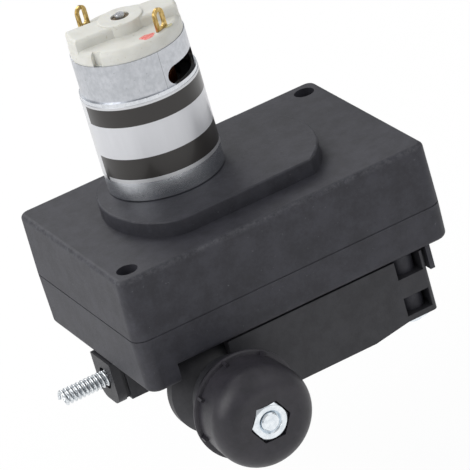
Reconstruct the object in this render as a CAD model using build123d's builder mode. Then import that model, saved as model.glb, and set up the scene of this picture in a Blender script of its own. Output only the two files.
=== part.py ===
from math import acos, asin, atan2, cos, degrees, hypot, pi, radians, sin, sqrt, tan
import os

from build123d import *

# A small 24 V wire feeder: a two-part gearbox case with a permanent-magnet motor on its
# back, and the wire path with its drive roll, pressure arm and tension bolt on its front.
# +Z runs along the motor shaft, out of the back of the case. +X runs along the wire,
# towards the torch. The origin is the middle of the case's flat back. Millimetres.

# ---------------------------------------------------------------- driving dimensions
case_length = 107.3
case_width = 77.0
cover_depth = 20.5
front_depth = 12.0
case_draft = 0.5
front_taper = 1.3
case_wall = 2.6
floor_thick = 3.0
corner_r = 4.5
seam_groove = 0.2
edge_r = 1.5
hood_drop = 5.8
hood_end = -42.9

boss_x = -2.7
boss_r = 35.0
boss_flat = 26.0
boss_round = 10.0
boss_height = 5.2

mount_x = 47.1
mount_y = 31.1
mount_hole_r = 3.3
column_r = 5.6
side_screw_y = 33.2
side_column_r = 3.8
case_screw_r = 1.5
case_screw_head_r = 2.9
case_screw_head_h = 2.2
screw_clear = 0.15

motor_x = -12.8
motor_y = 8.1
can_r = 17.9
can_wall = 1.1
can_top = 50.7
ring_r = 18.5
ring_top = 38.5
label_low = 11.6
label_top = 37.2
label_thick = 0.12
shaft_r = 1.585
bell_height = 4.3
bell_boss_r = 7.1
bell_boss_h = 3.9
ridge_angle = 172.0
ridge_width = 11.0
ridge_height = 3.4
rear_bushing_r = 2.9
terminal_angle = -62.0
terminal_ring = 15.0
vent_angle = -51.0
vent_drop = 9.4
vent_length = 17.5
vent_height = 5.8
motor_screw_pitch = 12.5
motor_screw_r = 1.4

fine_module = 0.5
coarse_module = 0.7
pinion_teeth = 12
idler_teeth = 72
output_teeth = 46
pressure_angle = radians(20.0)
tooth_play = 0.10
fine_width = 5.0
coarse_width = 6.0
idler_pin_r = 2.0
run_clear = 0.05
fit_clear = 0.02
piece_gap = 0.3

roll_x = 12.0
roll_r = 11.0
roll_width = 10.0
nip_gap = 0.3
wire_z = -45.5
output_shaft_r = 4.0
bearing_r = 11.0
bearing_width = 7.0
hub_wall = 2.2
pressure_roller_width = 7.0
axle_r = 4.0

pivot_x = 37.5
pivot_y = -31.0
post_r = 4.2
knuckle_r = 6.1
arm_face = 37.4
arm_plate = 4.0
arm_drop = 22.6
arm_gap = 0.5
window_width = 8.9

bolt_x = -29.7
bolt_y = -18.0
bolt_z = -48.3
bolt_r = 2.95
eye_r = 5.0
eye_width = 6.0
bolt_pin_r = 2.0
ear_thick = 3.2
seat_sphere = 20.0
seat_wall = 4.0
seat_r = 15.7
slot_half = 3.7
seat_back = 27.0
cup_r = 12.5
cup_base = 2.5
cup_tube_r = 11.0
cup_length = 11.2
knob_r = 16.2
lip_r = 17.3
lip_thick = 1.3
knob_start = 48.5
knob_length = 17.5
knob_bore_r = 11.6
knob_bore_depth = 9.5
nut_flats = 10.8
nut_height = 5.0
washer_r = 8.5
washer_thick = 1.3
spring_wire = 1.6
spring_mean_r = 6.3
spring_turns = 5

guide_wire = 1.0
guide_mean_r = 2.2
guide_turns = 13
guide_reach = 15.6
guide_seat = 4.0
inlet_reach = 53.8
inlet_flange = 3.0
guide_end = -40.0
guide_block_half = 7.0
guide_block_low = 7.9
tube_r = 2.0
tube_bore_r = 0.9
torch_bore_r = 4.0

# ---------------------------------------------------------------- derived places
seam_z = -cover_depth
floor_z = seam_z - front_depth
hood_z = floor_z - hood_drop
inner_floor_z = floor_z + floor_thick
inner_top_z = -case_wall
boss_inner_z = boss_height - case_wall

roll_y = roll_r + nip_gap / 2
roller_y = -roll_y
stage_one = fine_module * (pinion_teeth + idler_teeth) / 2
stage_two = coarse_module * (pinion_teeth + output_teeth) / 2
reach_x = roll_x - motor_x
reach_y = roll_y - motor_y
reach = hypot(reach_x, reach_y)
reach_angle = atan2(reach_y, reach_x)
idler_turn = acos((stage_one ** 2 + reach ** 2 - stage_two ** 2) / (2 * stage_one * reach))
idler_angle = reach_angle - idler_turn
idler_x = motor_x + stage_one * cos(idler_angle)
idler_y = motor_y + stage_one * sin(idler_angle)
output_angle = atan2(roll_y - idler_y, roll_x - idler_x)

idler_high_z = -4.9
idler_mid_z = idler_high_z - fine_width
idler_low_z = idler_mid_z - 8.5
output_high_z = idler_mid_z - 1.8
output_low_z = output_high_z - coarse_width
hub_high_z = output_low_z - 1.2
hub_low_z = hub_high_z - 19.0
roll_high_z = wire_z + roll_width / 2
roll_low_z = wire_z - roll_width / 2
roller_high_z = wire_z + pressure_roller_width / 2
roller_low_z = wire_z - pressure_roller_width / 2

arm_high_z = floor_z - arm_gap
arm_low_z = arm_high_z - arm_drop
cheek_thick = 3.2
cheek_high_z = roller_high_z + piece_gap + cheek_thick
cheek_low_z = roller_low_z - piece_gap - cheek_thick
knuckle_low_z = arm_low_z + 2.0
rim_thick = 1.8

os.makedirs("parts", exist_ok=True)


def save(builder, name):
    builder.part.label = name
    export_step(builder.part, f"parts/{name}.step")


def involute(angle):
    return tan(angle) - angle


def gear_lines(module, teeth, addendum, phase):
    """Draw the closed outline of a spur gear with one tooth centred on the angle phase."""
    pitch_r = module * teeth / 2
    base_r = pitch_r * cos(pressure_angle)
    root_r = pitch_r - 1.25 * module
    tip_r = pitch_r + addendum * module
    start_r = max(base_r, root_r)
    mid_r = (start_r + tip_r) / 2
    half = pi / (2 * teeth) - tooth_play / (2 * pitch_r) + involute(pressure_angle)

    def spot(radius, angle):
        return (radius * cos(angle), radius * sin(angle))

    def flank(radius):
        return half - involute(acos(min(1.0, base_r / radius)))

    for tooth in range(teeth):
        middle = phase + 2 * pi * tooth / teeth
        following = middle + 2 * pi / teeth
        rise = [spot(r, middle - flank(r)) for r in (start_r, mid_r, tip_r)]
        fall = [spot(r, middle + flank(r)) for r in (tip_r, mid_r, start_r)]
        low_start = spot(root_r, middle - flank(start_r))
        low_end = spot(root_r, middle + flank(start_r))
        low_next = spot(root_r, following - flank(start_r))
        if base_r > root_r:
            Line(low_start, rise[0])
            Line(fall[2], low_end)
        ThreePointArc(*rise)
        Line(rise[2], fall[0])
        ThreePointArc(*fall)
        Line(low_end if base_r > root_r else fall[2], low_next)


def coil_path(plane, mean_r, pitch, turns, tail, start_angle=0.0):
    """Path of a wound wire about a plane's normal: half-turn biarcs with straight tails."""
    steps = 2 * turns
    rise = pitch / (2 * pi)
    speed = hypot(mean_r, rise)

    def turned(across, along, up):
        return plane.x_dir * across + plane.y_dir * along + plane.z_dir * up

    def place(angle):
        spin = angle + start_angle
        return plane.origin + turned(mean_r * cos(spin), mean_r * sin(spin), rise * angle)

    def heading(angle):
        spin = angle + start_angle
        return turned(-mean_r * sin(spin) / speed, mean_r * cos(spin) / speed, rise / speed)

    first = place(0)
    Line(first - heading(0) * tail, first)
    for step in range(steps):
        low, high = pi * step, pi * (step + 1)
        p0, p1, t0, t1 = place(low), place(high), heading(low), heading(high)
        span = p1 - p0
        a = 2 * (t0.dot(t1) - 1)
        b = -2 * span.dot(t0 + t1)
        c = span.dot(span)
        reach_out = (-b - sqrt(b * b - 4 * a * c)) / (2 * a)
        corner0 = p0 + t0 * reach_out
        corner1 = p1 - t1 * reach_out
        joint = (corner0 + corner1) * 0.5
        TangentArc(p0, joint, tangent=t0)
        TangentArc(joint, p1, tangent=(corner1 - corner0).normalized())
    last = place(pi * steps)
    Line(last, last + heading(pi * steps) * tail)


def coil_gap(mean_r, wire, pitch):
    """Least clear distance between neighbouring turns, measured on points of the helix."""
    rise = pitch / (2 * pi)
    least = pitch
    for count in range(-60, 61):
        turn = 2 * pi + count * 0.01
        chord = 2 * mean_r * sin(turn / 2)
        least = min(least, hypot(chord, rise * turn))
    return least - wire


# ---------------------------------------------------------------- gearbox case
def footprint(shrink, radius, mode=Mode.ADD):
    RectangleRounded(case_length - 2 * shrink, case_width - 2 * shrink, radius, mode=mode)


mount_spots = [(-mount_x, -mount_y), (mount_x, mount_y)]
corner_screw_spots = [(-mount_x, mount_y), (mount_x, -mount_y)]
side_screw_spots = [(-4.0, side_screw_y), (-4.0, -side_screw_y)]
screw_spots = corner_screw_spots + side_screw_spots
motor_screw_spots = [(motor_x, motor_y + s * motor_screw_pitch) for s in (-1, 1)]

with BuildPart() as rear_cover:
    with BuildSketch(Plane.XY):
        footprint(case_draft, corner_r - 1.5)
    with BuildSketch(Plane.XY.offset(seam_z)):
        footprint(0, corner_r)
    loft()
    fillet(rear_cover.faces().sort_by(Axis.Z)[-1].edges(), edge_r)
    with BuildSketch(Plane.XY.offset(-edge_r)) as boss_outline:
        with Locations((boss_x, 0)):
            Circle(boss_r)
            Rectangle(2 * boss_r + 2, 2 * boss_flat, mode=Mode.INTERSECT)
        fillet(boss_outline.vertices().sort_by(Axis.X)[:2], boss_round)
    extrude(amount=boss_height + edge_r)
    fillet(rear_cover.faces().sort_by(Axis.Z)[-1].edges(), 0.6)
    with BuildSketch(Plane.XY.offset(seam_z)):
        footprint(case_wall, corner_r - 2)
    extrude(amount=cover_depth - case_wall, mode=Mode.SUBTRACT)
    with BuildSketch(Plane.XY.offset(inner_top_z - 0.5)):
        with Locations((boss_x, 0)):
            Circle(boss_r - case_wall)
            Rectangle(2 * boss_r, 2 * (boss_flat - case_wall), mode=Mode.INTERSECT)
    extrude(amount=boss_height + 0.5, mode=Mode.SUBTRACT)
    with BuildSketch(Plane.XY.offset(seam_z)):
        with Locations(mount_spots + corner_screw_spots):
            Circle(column_r)
        with Locations(side_screw_spots):
            Circle(side_column_r)
    extrude(amount=cover_depth - case_wall)
    with BuildSketch(Plane.XY.offset(idler_high_z + 0.6)):
        with Locations((idler_x, idler_y)):
            Circle(4.5)
    extrude(amount=boss_inner_z - idler_high_z - 0.6)
    with BuildSketch(Plane.XY.offset(idler_high_z - 0.1)):
        with Locations((idler_x, idler_y)):
            Circle(idler_pin_r + fit_clear)
    extrude(amount=6.1, mode=Mode.SUBTRACT)
    with BuildSketch(Plane.XY.offset(inner_top_z)):
        with Locations((motor_x, motor_y)):
            Circle(6.5 + piece_gap)
        with Locations(motor_screw_spots):
            Circle(motor_screw_r + screw_clear)
    extrude(amount=boss_height + case_wall + 1, mode=Mode.SUBTRACT)
    with BuildSketch(Plane.XY.offset(seam_z)):
        with Locations(mount_spots):
            Circle(mount_hole_r)
    extrude(amount=cover_depth + 1, mode=Mode.SUBTRACT)
    with BuildSketch(Plane.XY.offset(seam_z)):
        with Locations(screw_spots):
            Circle(case_screw_r + fit_clear)
    extrude(amount=12.0, mode=Mode.SUBTRACT)
    with BuildSketch(Plane.XY.offset(seam_z)):
        footprint(-1, corner_r)
        footprint(seam_groove, corner_r, mode=Mode.SUBTRACT)
    extrude(amount=seam_groove, mode=Mode.SUBTRACT)
save(rear_cover, "rear_cover")

ear_faces = [bolt_x - eye_width / 2 - piece_gap - ear_thick, bolt_x + eye_width / 2 + piece_gap]
inlet_face = -inlet_reach
inlet_back = inlet_face + inlet_flange
saddle_start = -13.0
saddle_end = -8.0
block_start = 30.0
block_end = 51.5
tab_start = pivot_x + knuckle_r + 0.8
tab_thick = 1.6
block_low_z = wire_z - guide_block_low
column_floor = inner_floor_z - 0.1

with BuildPart() as front_case:
    with BuildSketch(Plane.XY.offset(seam_z)):
        footprint(0, corner_r)
    extrude(amount=-(front_depth + hood_drop), taper=front_taper)
    with BuildSketch(Plane.XY.offset(floor_z)):
        with Locations((hood_end, 0)):
            Rectangle(case_length, case_width + 4, align=(Align.MIN, Align.CENTER))
    extrude(amount=-(hood_drop + 1), mode=Mode.SUBTRACT)
    fillet(front_case.faces().sort_by(Axis.Z)[0].edges(), edge_r)
    flat_faces = front_case.faces().filter_by(Axis.Z)
    floor_edges = flat_faces.filter_by_position(Axis.Z, floor_z - 0.1, floor_z + 0.1).edges()
    fillet(floor_edges.filter_by_position(Axis.X, hood_end + 1, case_length), edge_r)
    with BuildSketch(Plane.XY.offset(seam_z)):
        footprint(case_wall, corner_r - 2)
    extrude(amount=-(front_depth - floor_thick), mode=Mode.SUBTRACT)
    with BuildSketch(Plane.XY.offset(seam_z)):
        footprint(-1, corner_r)
        footprint(seam_groove, corner_r, mode=Mode.SUBTRACT)
    extrude(amount=-seam_groove, mode=Mode.SUBTRACT)
    # Columns for the mounting bolts and the case screws.
    with BuildSketch(Plane.XY.offset(column_floor)):
        with Locations(mount_spots + corner_screw_spots):
            Circle(column_r)
        with Locations(side_screw_spots):
            Circle(side_column_r)
    extrude(amount=seam_z - column_floor)
    # Bearing hub of the output shaft, and the idler pin's boss.
    with BuildSketch(Plane.XY.offset(hub_low_z)):
        with Locations((roll_x, roll_y)):
            Circle(bearing_r + hub_wall)
    extrude(amount=hub_high_z - hub_low_z)
    with BuildSketch(Plane.XY.offset(column_floor)):
        with Locations((idler_x, idler_y)):
            Circle(4.5)
    extrude(amount=idler_low_z - 0.6 - column_floor)
    # Arm pivot post and the small stop beside the arm's end.
    with BuildSketch(Plane.XY.offset(floor_z + 1)):
        with Locations((pivot_x, pivot_y)):
            Circle(post_r)
    extrude(amount=knuckle_low_z - rim_thick - 0.1 - floor_z - 1 + rim_thick)
    with BuildSketch(Plane.XY.offset(floor_z + 1)):
        with Locations((tab_start, -arm_face)):
            Rectangle(tab_thick, 11.0, align=(Align.MIN, Align.MIN))
    extrude(amount=-8.9)
    # Ears that carry the tension bolt's pin.
    for ear_face in ear_faces:
        with BuildSketch(Plane.YZ.offset(ear_face)):
            with Locations((bolt_y, bolt_z)):
                Circle(eye_r)
            with Locations((bolt_y - 1.5, bolt_z)):
                Rectangle(eye_r + 4.5, floor_z + 1 - bolt_z, align=(Align.MIN, Align.MIN))
        extrude(amount=ear_thick)
    # Saddle that steadies the inner guide tube, and the block that takes the torch.
    with BuildSketch(Plane.YZ.offset(saddle_start)):
        with Locations((0, wire_z)):
            Circle(tube_r + 2.0)
            Rectangle(2 * tube_r + 4.0, floor_z + 1 - wire_z, align=(Align.CENTER, Align.MIN))
    extrude(amount=saddle_end - saddle_start)
    with BuildSketch(Plane.YZ.offset(block_start)):
        with Locations((0, block_low_z)):
            Rectangle(2 * guide_block_half, floor_z + 1 - block_low_z, align=(Align.CENTER, Align.MIN))
    extrude(amount=block_end - block_start)
    # Seats, bores and holes.
    with BuildSketch(Plane.XY.offset(hub_low_z)):
        with Locations((roll_x, roll_y)):
            Circle(output_shaft_r + 3.0)
    extrude(amount=hub_high_z - hub_low_z, mode=Mode.SUBTRACT)
    with BuildSketch(Plane.XY.offset(hub_high_z - bearing_width), Plane.XY.offset(hub_low_z)):
        with Locations((roll_x, roll_y)):
            Circle(bearing_r + fit_clear)
    extrude(amount=bearing_width, mode=Mode.SUBTRACT)
    with BuildSketch(Plane.XY.offset(inner_floor_z - 1.0)):
        with Locations((idler_x, idler_y)):
            Circle(idler_pin_r + fit_clear)
    extrude(amount=idler_low_z - inner_floor_z + 2.0, mode=Mode.SUBTRACT)
    with BuildSketch(Plane.XY.offset(knuckle_low_z - 1)):
        with Locations((pivot_x, pivot_y)):
            Circle(case_screw_r + fit_clear)
    extrude(amount=14.0, mode=Mode.SUBTRACT)
    with BuildSketch(Plane.YZ.offset(ear_faces[0] - 1)):
        with Locations((bolt_y, bolt_z)):
            Circle(bolt_pin_r + fit_clear)
    extrude(amount=eye_width + 2 * ear_thick + 3, mode=Mode.SUBTRACT)
    with BuildSketch(Plane.YZ.offset(saddle_start - 1)):
        with Locations((0, wire_z)):
            Circle(tube_r + fit_clear)
    extrude(amount=saddle_end - saddle_start + 2, mode=Mode.SUBTRACT)
    with BuildSketch(Plane.YZ.offset(block_start - 1)):
        with Locations((0, wire_z)):
            Circle(tube_r + fit_clear)
    extrude(amount=10.0, mode=Mode.SUBTRACT)
    with BuildSketch(Plane.YZ.offset(block_start + 5)):
        with Locations((0, wire_z)):
            Circle(torch_bore_r)
    extrude(amount=block_end - block_start, mode=Mode.SUBTRACT)
    with BuildSketch(Plane.XY.offset(block_low_z - 1)):
        with Locations((block_start + 12, 0)):
            Circle(2.5 + fit_clear)
    extrude(amount=guide_block_low - torch_bore_r + 2, mode=Mode.SUBTRACT)
    with BuildSketch(Plane.XY.offset(hood_z - 1)):
        with Locations(mount_spots):
            Circle(mount_hole_r)
        with Locations(screw_spots):
            Circle(case_screw_r + screw_clear)
    extrude(amount=seam_z - hood_z + 2, mode=Mode.SUBTRACT)
    with BuildSketch(Plane.XY.offset(hood_z - 1)):
        with Locations(screw_spots):
            Circle(case_screw_head_r + 0.2)
    extrude(amount=floor_z + 5.0 - hood_z + 1, mode=Mode.SUBTRACT)
save(front_case, "front_case")

with BuildPart() as case_screws:
    with BuildSketch(Plane.XY.offset(floor_z + 5.0)):
        with Locations(screw_spots):
            Circle(case_screw_head_r)
            RegularPolygon(1.4, 6, mode=Mode.SUBTRACT)
    extrude(amount=-case_screw_head_h)
    with BuildSketch(Plane.XY.offset(floor_z + 5.0 - 0.8)):
        with Locations(screw_spots):
            Circle(1.5)
    extrude(amount=0.8)
    with BuildSketch(Plane.XY.offset(floor_z + 5.0)):
        with Locations(screw_spots):
            Circle(case_screw_r)
    extrude(amount=seam_z + 10.0 - floor_z - 5.0)
save(case_screws, "case_screws")

# ---------------------------------------------------------------- motor
motor_plane = Plane((motor_x, motor_y, 0))
bell_z = can_top + bell_height

with BuildPart() as motor_can:
    with BuildSketch(motor_plane.offset(boss_height)):
        Circle(can_r)
    extrude(amount=can_top - boss_height)
    fillet(motor_can.faces().sort_by(Axis.Z)[0].edges(), 0.8)
    with BuildSketch(motor_plane.offset(boss_height + 1.0)):
        Circle(can_r - can_wall)
    extrude(amount=can_top - boss_height, mode=Mode.SUBTRACT)
    with BuildSketch(motor_plane.offset(boss_height + 1.5)):
        Circle(6.5)
    extrude(amount=-4.0)
    with BuildSketch(motor_plane.offset(boss_height + 2.0)):
        Circle(4.0 + fit_clear)
        with Locations((0, motor_screw_pitch), (0, -motor_screw_pitch)):
            Circle(motor_screw_r + screw_clear)
    extrude(amount=-6.0, mode=Mode.SUBTRACT)
    for turn in (vent_angle, vent_angle + 180):
        vent_plane = Plane(
            origin=(motor_x, motor_y, can_top - vent_drop),
            x_dir=(-sin(radians(turn)), cos(radians(turn)), 0),
            z_dir=(cos(radians(turn)), sin(radians(turn)), 0),
        )
        with BuildSketch(vent_plane.offset(can_r - 8)):
            SlotOverall(vent_length, vent_height)
        extrude(amount=12.0, mode=Mode.SUBTRACT)
save(motor_can, "motor_can")

with BuildPart() as flux_ring:
    with BuildSketch(motor_plane.offset(boss_height + piece_gap)):
        Circle(ring_r)
        Circle(can_r + fit_clear, mode=Mode.SUBTRACT)
    extrude(amount=ring_top - boss_height - piece_gap)
save(flux_ring, "flux_ring")

with BuildPart() as motor_label:
    with BuildSketch(motor_plane.offset(label_low)):
        Circle(ring_r + fit_clear + label_thick)
        Circle(ring_r + fit_clear, mode=Mode.SUBTRACT)
    extrude(amount=label_top - label_low)
save(motor_label, "motor_label")

with BuildPart() as end_bell:
    with BuildSketch(motor_plane.offset(can_top + fit_clear)):
        Circle(can_r - 0.3)
    extrude(amount=bell_height)
    fillet(end_bell.faces().sort_by(Axis.Z)[-1].edges(), 1.8)
    with BuildSketch(motor_plane.offset(can_top - 3.0)):
        Circle(can_r - can_wall - fit_clear)
    extrude(amount=3.5)
    with BuildSketch(motor_plane.offset(bell_z - 2.5)):
        Circle(can_r - 0.5)
        Rectangle(2 * can_r, ridge_width, rotation=ridge_angle, mode=Mode.INTERSECT)
    extrude(amount=ridge_height + 2.5)
    fillet(end_bell.faces().sort_by(Axis.Z)[-1].edges(), 1.2)
    with BuildSketch(motor_plane.offset(bell_z - 0.5)):
        Circle(bell_boss_r)
    extrude(amount=bell_boss_h + 0.5)
    fillet(end_bell.faces().sort_by(Axis.Z)[-1].edges(), 0.4)
    with BuildSketch(motor_plane.offset(can_top - 4.0)):
        Circle(can_r - can_wall - 2.5)
    extrude(amount=4.0 + 1.2, mode=Mode.SUBTRACT)
    with BuildSketch(motor_plane.offset(bell_z + bell_boss_h)):
        Circle(rear_bushing_r + fit_clear)
    extrude(amount=-5.0, mode=Mode.SUBTRACT)
    with BuildSketch(motor_plane.offset(can_top)):
        Circle(shaft_r + 0.6)
    extrude(amount=12.0, mode=Mode.SUBTRACT)
    with BuildSketch(motor_plane.offset(can_top + fit_clear)):
        for turn in (-146, 34):
            with Locations((17.6 * cos(radians(turn)), 17.6 * sin(radians(turn)))):
                Rectangle(3.2, 3.2, rotation=turn)
    extrude(amount=8.0, mode=Mode.SUBTRACT)
    with BuildSketch(motor_plane.offset(can_top - 4.0)):
        for turn in (terminal_angle, terminal_angle + 180):
            with Locations((terminal_ring * cos(radians(turn)), terminal_ring * sin(radians(turn)))):
                Rectangle(0.8 + 2 * fit_clear, 5.0 + 2 * fit_clear, rotation=turn)
    extrude(amount=12.0, mode=Mode.SUBTRACT)
save(end_bell, "end_bell")

with BuildPart() as terminals:
    for turn in (terminal_angle, terminal_angle + 180):
        tab_plane = Plane(
            origin=(
                motor_x + terminal_ring * cos(radians(turn)),
                motor_y + terminal_ring * sin(radians(turn)),
                can_top - 2.6,
            ),
            x_dir=(-sin(radians(turn)), cos(radians(turn)), 0),
            z_dir=(cos(radians(turn)), sin(radians(turn)), 0),
        )
        with BuildSketch(tab_plane.offset(-0.4)):
            with Locations((0, 6.9)):
                SlotOverall(13.8, 4.8, rotation=90)
            with Locations((0, 10.2)):
                SlotOverall(4.8, 2.2, rotation=90, mode=Mode.SUBTRACT)
        extrude(amount=0.8)
save(terminals, "terminals")

with BuildPart() as motor_bushings:
    with BuildSketch(motor_plane.offset(boss_height - 2.3)):
        Circle(4.0)
        Circle(shaft_r + run_clear, mode=Mode.SUBTRACT)
    extrude(amount=4.2)
    with BuildSketch(motor_plane.offset(bell_z + bell_boss_h - 0.6)):
        Circle(rear_bushing_r)
        Circle(shaft_r + run_clear, mode=Mode.SUBTRACT)
    extrude(amount=-4.2)
save(motor_bushings, "motor_bushings")

with BuildPart() as motor_shaft:
    with BuildSketch(motor_plane.offset(idler_mid_z - 1.0)):
        Circle(shaft_r)
    extrude(amount=bell_z + bell_boss_h + 0.9 - idler_mid_z + 1.0)
    chamfer(motor_shaft.edges().sort_by(Axis.Z)[-1], 0.3)
save(motor_shaft, "motor_shaft")

magnet_low = boss_height + 6.0
magnet_high = can_top - 14.0
magnet_inner = can_r - can_wall - 3.6
with BuildPart() as magnets:
    with BuildSketch(motor_plane.offset(magnet_low)):
        Circle(can_r - can_wall - fit_clear)
        Circle(magnet_inner, mode=Mode.SUBTRACT)
        Rectangle(9.0, 40.0, mode=Mode.SUBTRACT)
    extrude(amount=magnet_high - magnet_low)
save(magnets, "magnets")

core_r = magnet_inner - 0.5
with BuildPart() as armature_core:
    with BuildSketch(motor_plane.offset(magnet_low + 2.0)):
        Circle(core_r)
        with PolarLocations(core_r - 4.2, 5):
            Circle(3.0, mode=Mode.SUBTRACT)
        with PolarLocations(core_r - 0.5, 5):
            Rectangle(4.0, 1.6, mode=Mode.SUBTRACT)
        Circle(shaft_r + fit_clear, mode=Mode.SUBTRACT)
    extrude(amount=magnet_high - magnet_low - 4.0)
save(armature_core, "armature_core")

with BuildPart() as windings:
    with BuildSketch(motor_plane.offset(magnet_low - 2.2)):
        with PolarLocations(core_r - 4.2, 5):
            Circle(2.8)
    extrude(amount=magnet_high - magnet_low + 4.4)
    for low in (magnet_low - 2.2, magnet_high - 1.8):
        with BuildSketch(motor_plane.offset(low)):
            Circle(core_r - 1.2)
            Circle(shaft_r + 1.2, mode=Mode.SUBTRACT)
        extrude(amount=4.0)
save(windings, "armature_windings")

comm_low = magnet_high + 3.0
comm_high = comm_low + 8.0
with BuildPart() as commutator:
    with BuildSketch(motor_plane.offset(comm_low)):
        Circle(4.6)
        with PolarLocations(4.4, 5, start_angle=36):
            Rectangle(1.6, 0.5, mode=Mode.SUBTRACT)
        Circle(shaft_r + fit_clear, mode=Mode.SUBTRACT)
    extrude(amount=comm_high - comm_low)
save(commutator, "commutator")

brush_z = (comm_low + comm_high) / 2
with BuildPart() as brushes:
    for turn in (terminal_angle, terminal_angle + 180):
        brush_plane = Plane(
            origin=(motor_x, motor_y, brush_z),
            x_dir=(-sin(radians(turn)), cos(radians(turn)), 0),
            z_dir=(cos(radians(turn)), sin(radians(turn)), 0),
        )
        with BuildSketch(brush_plane.offset(4.6 + run_clear)):
            Rectangle(3.6, 4.0)
        extrude(amount=5.0)
save(brushes, "carbon_brushes")

with BuildPart() as brush_springs:
    for turn in (terminal_angle, terminal_angle + 180):
        arm_plane = Plane(
            origin=(motor_x, motor_y, brush_z),
            x_dir=(-sin(radians(turn)), cos(radians(turn)), 0),
            z_dir=(cos(radians(turn)), sin(radians(turn)), 0),
        )
        with BuildSketch(arm_plane.offset(9.6 + run_clear)):
            with Locations((0, 0)):
                Rectangle(3.2, can_top - 4.2 - brush_z + 2.0, align=(Align.CENTER, Align.MIN))
        extrude(amount=0.4)
save(brush_springs, "brush_springs")

with BuildPart() as motor_screws:
    with BuildSketch(Plane.XY.offset(boss_inner_z)):
        with Locations(motor_screw_spots):
            Circle(2.7)
            RegularPolygon(1.3, 6, mode=Mode.SUBTRACT)
    extrude(amount=-1.8)
    with BuildSketch(Plane.XY.offset(boss_inner_z - 0.6)):
        with Locations(motor_screw_spots):
            Circle(motor_screw_r)
    extrude(amount=case_wall + 3.2)
save(motor_screws, "motor_screws")

# ---------------------------------------------------------------- gear train
idler_plane = Plane((idler_x, idler_y, 0))
roll_plane = Plane((roll_x, roll_y, 0))

with BuildPart() as motor_pinion:
    with BuildSketch(motor_plane.offset(idler_mid_z - 0.4)):
        with BuildLine():
            gear_lines(fine_module, pinion_teeth, 1.0, idler_angle)
        make_face()
        Circle(shaft_r + fit_clear, mode=Mode.SUBTRACT)
    extrude(amount=fine_width + 0.8)
save(motor_pinion, "motor_pinion")

with BuildPart() as idler_gear:
    with BuildSketch(idler_plane.offset(idler_mid_z)):
        with BuildLine():
            gear_lines(fine_module, idler_teeth, 0.7, idler_angle + pi + pi / idler_teeth)
        make_face()
    extrude(amount=fine_width)
    with BuildSketch(idler_plane.offset(idler_low_z)):
        with BuildLine():
            gear_lines(coarse_module, pinion_teeth, 1.0, output_angle)
        make_face()
    extrude(amount=idler_mid_z - idler_low_z)
    with BuildSketch(idler_plane.offset(idler_high_z - 1.5)):
        Circle(14.5)
        Circle(6.5, mode=Mode.SUBTRACT)
    extrude(amount=1.5, mode=Mode.SUBTRACT)
    with BuildSketch(idler_plane.offset(idler_low_z)):
        Circle(idler_pin_r + run_clear)
    extrude(amount=idler_high_z - idler_low_z, mode=Mode.SUBTRACT)
save(idler_gear, "idler_gear")

with BuildPart() as idler_pin:
    with BuildSketch(idler_plane.offset(inner_floor_z - 1.0 + fit_clear)):
        Circle(idler_pin_r)
    extrude(amount=idler_high_z + 6.0 - fit_clear - inner_floor_z + 1.0 - fit_clear)
    chamfer(idler_pin.edges().filter_by(GeomType.CIRCLE), 0.3)
save(idler_pin, "idler_pin")

with BuildPart() as idler_washers:
    for low in (idler_high_z + 0.08, idler_low_z - 0.5):
        with BuildSketch(idler_plane.offset(low)):
            Circle(4.0)
            Circle(idler_pin_r + fit_clear, mode=Mode.SUBTRACT)
        extrude(amount=0.42)
save(idler_washers, "idler_washers")

shaft_top_z = output_high_z + 0.9
with BuildPart() as output_gear:
    with BuildSketch(roll_plane.offset(output_low_z)):
        with BuildLine():
            gear_lines(coarse_module, output_teeth, 0.7, output_angle + pi + pi / output_teeth)
        make_face()
        Circle(output_shaft_r + fit_clear, mode=Mode.SUBTRACT)
    extrude(amount=coarse_width)
    with BuildSketch(roll_plane.offset(output_high_z - 1.4)):
        Circle(13.0)
        Circle(7.5, mode=Mode.SUBTRACT)
    extrude(amount=1.4, mode=Mode.SUBTRACT)
    with BuildSketch(Plane((roll_x, roll_y, (output_high_z + output_low_z) / 2), z_dir=(1, 0, 0))):
        Circle(1.0 + fit_clear)
    extrude(amount=7.5, both=True, mode=Mode.SUBTRACT)
save(output_gear, "output_gear")

with BuildPart() as gear_pin:
    with BuildSketch(Plane((roll_x, roll_y, (output_high_z + output_low_z) / 2), z_dir=(1, 0, 0))):
        Circle(1.0)
    extrude(amount=7.2, both=True)
save(gear_pin, "gear_pin")

shaft_low_z = roll_low_z + 0.4
with BuildPart() as output_shaft:
    with BuildSketch(roll_plane.offset(shaft_low_z)):
        Circle(output_shaft_r)
    extrude(amount=shaft_top_z - shaft_low_z)
    chamfer(output_shaft.edges().filter_by(GeomType.CIRCLE), 0.4)
    with BuildSketch(Plane((roll_x, roll_y, (output_high_z + output_low_z) / 2), z_dir=(1, 0, 0))):
        Circle(1.0 + fit_clear)
    extrude(amount=6.0, both=True, mode=Mode.SUBTRACT)
    with BuildSketch(roll_plane.offset(shaft_low_z)):
        Circle(2.0 + fit_clear)
    extrude(amount=9.0, mode=Mode.SUBTRACT)
    with BuildSketch(roll_plane.offset(shaft_low_z)):
        with Locations((output_shaft_r, 0)):
            Rectangle(2.4, 2.0)
    extrude(amount=8.0, mode=Mode.SUBTRACT)
save(output_shaft, "output_shaft")

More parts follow.
